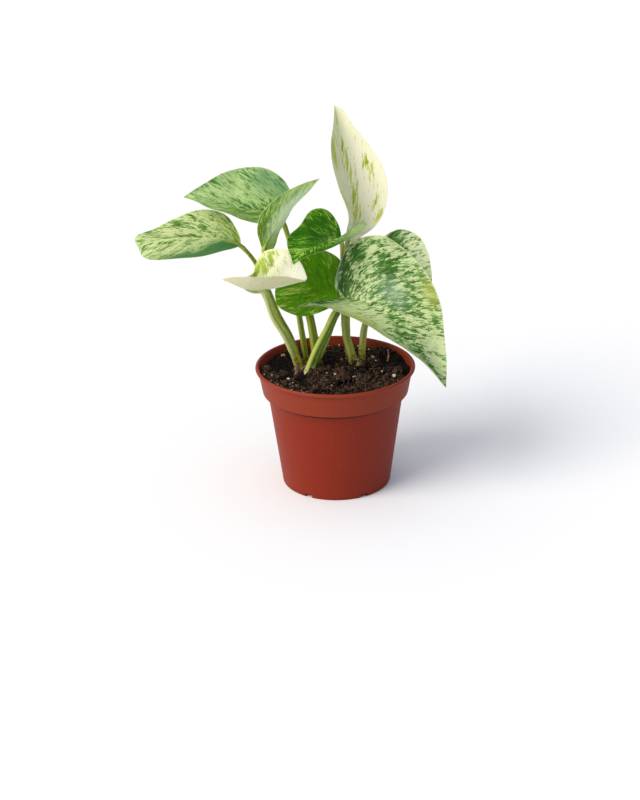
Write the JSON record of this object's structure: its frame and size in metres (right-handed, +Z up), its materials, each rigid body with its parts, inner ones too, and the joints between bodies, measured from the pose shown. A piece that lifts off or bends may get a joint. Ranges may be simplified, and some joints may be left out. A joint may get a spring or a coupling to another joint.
{
  "type": "potted marble queen pothos",
  "caption": "Young marble queen pothos with cream-flecked heart-shaped leaves on thin stalks, growing from dark peat in a small round terracotta-coloured nursery pot.",
  "frame": {"origin": "the centre of the pot's flat underside, which stands on the ground", "axes": "+Z points up out of the pot. -Y points to the front, where the large drooping leaf hangs over the rim. +X points to the right seen from the front."},
  "size_m": [0.1202, 0.0692, 0.1495],
  "materials": {
    "pot_plastic": "matte",
    "peat": "matte",
    "crown_bark": "matte",
    "dry_sheath": "matte",
    "perlite": "matte",
    "bark_chip": "matte",
    "stalk_green": "satin",
    "stalk_pale": "satin",
    "stalk_dark": "satin",
    "leaf_flecked": "satin",
    "leaf_streaked": "satin",
    "leaf_cream": "satin",
    "leaf_dark": "satin"
  },
  "bodies": {
    "root": {"pot": "pot_plastic", "soil": "peat", "crown_left": "crown_bark", "crown_right": "crown_bark", "leaf_far_left": "leaf_flecked", "leaf_upper_left": "leaf_streaked", "leaf_folded": "leaf_flecked", "leaf_cream_cup": "leaf_cream", "leaf_dark_heart": "leaf_dark", "leaf_tall_cream": "leaf_cream", "leaf_dark_rear": "leaf_dark", "leaf_big_right": "leaf_flecked", "leaf_right_rear": "leaf_flecked", "stalk_far_left": "stalk_dark", "stalk_upper_left": "stalk_green", "stalk_folded": "stalk_green", "stalk_cream_cup": "stalk_pale", "stalk_dark_heart": "stalk_green", "stalk_tall_cream": "stalk_pale", "stalk_dark_rear": "stalk_dark", "stalk_big_right": "stalk_green", "stalk_right_rear": "stalk_pale", "twig": "bark_chip", "sheath_scrap": "dry_sheath", "perlite_1": "perlite", "perlite_2": "perlite", "perlite_3": "perlite", "perlite_4": "perlite", "perlite_5": "perlite", "perlite_6": "perlite", "perlite_7": "perlite", "perlite_8": "perlite", "bark_chip": "bark_chip"}
  },
  "joints": []
}
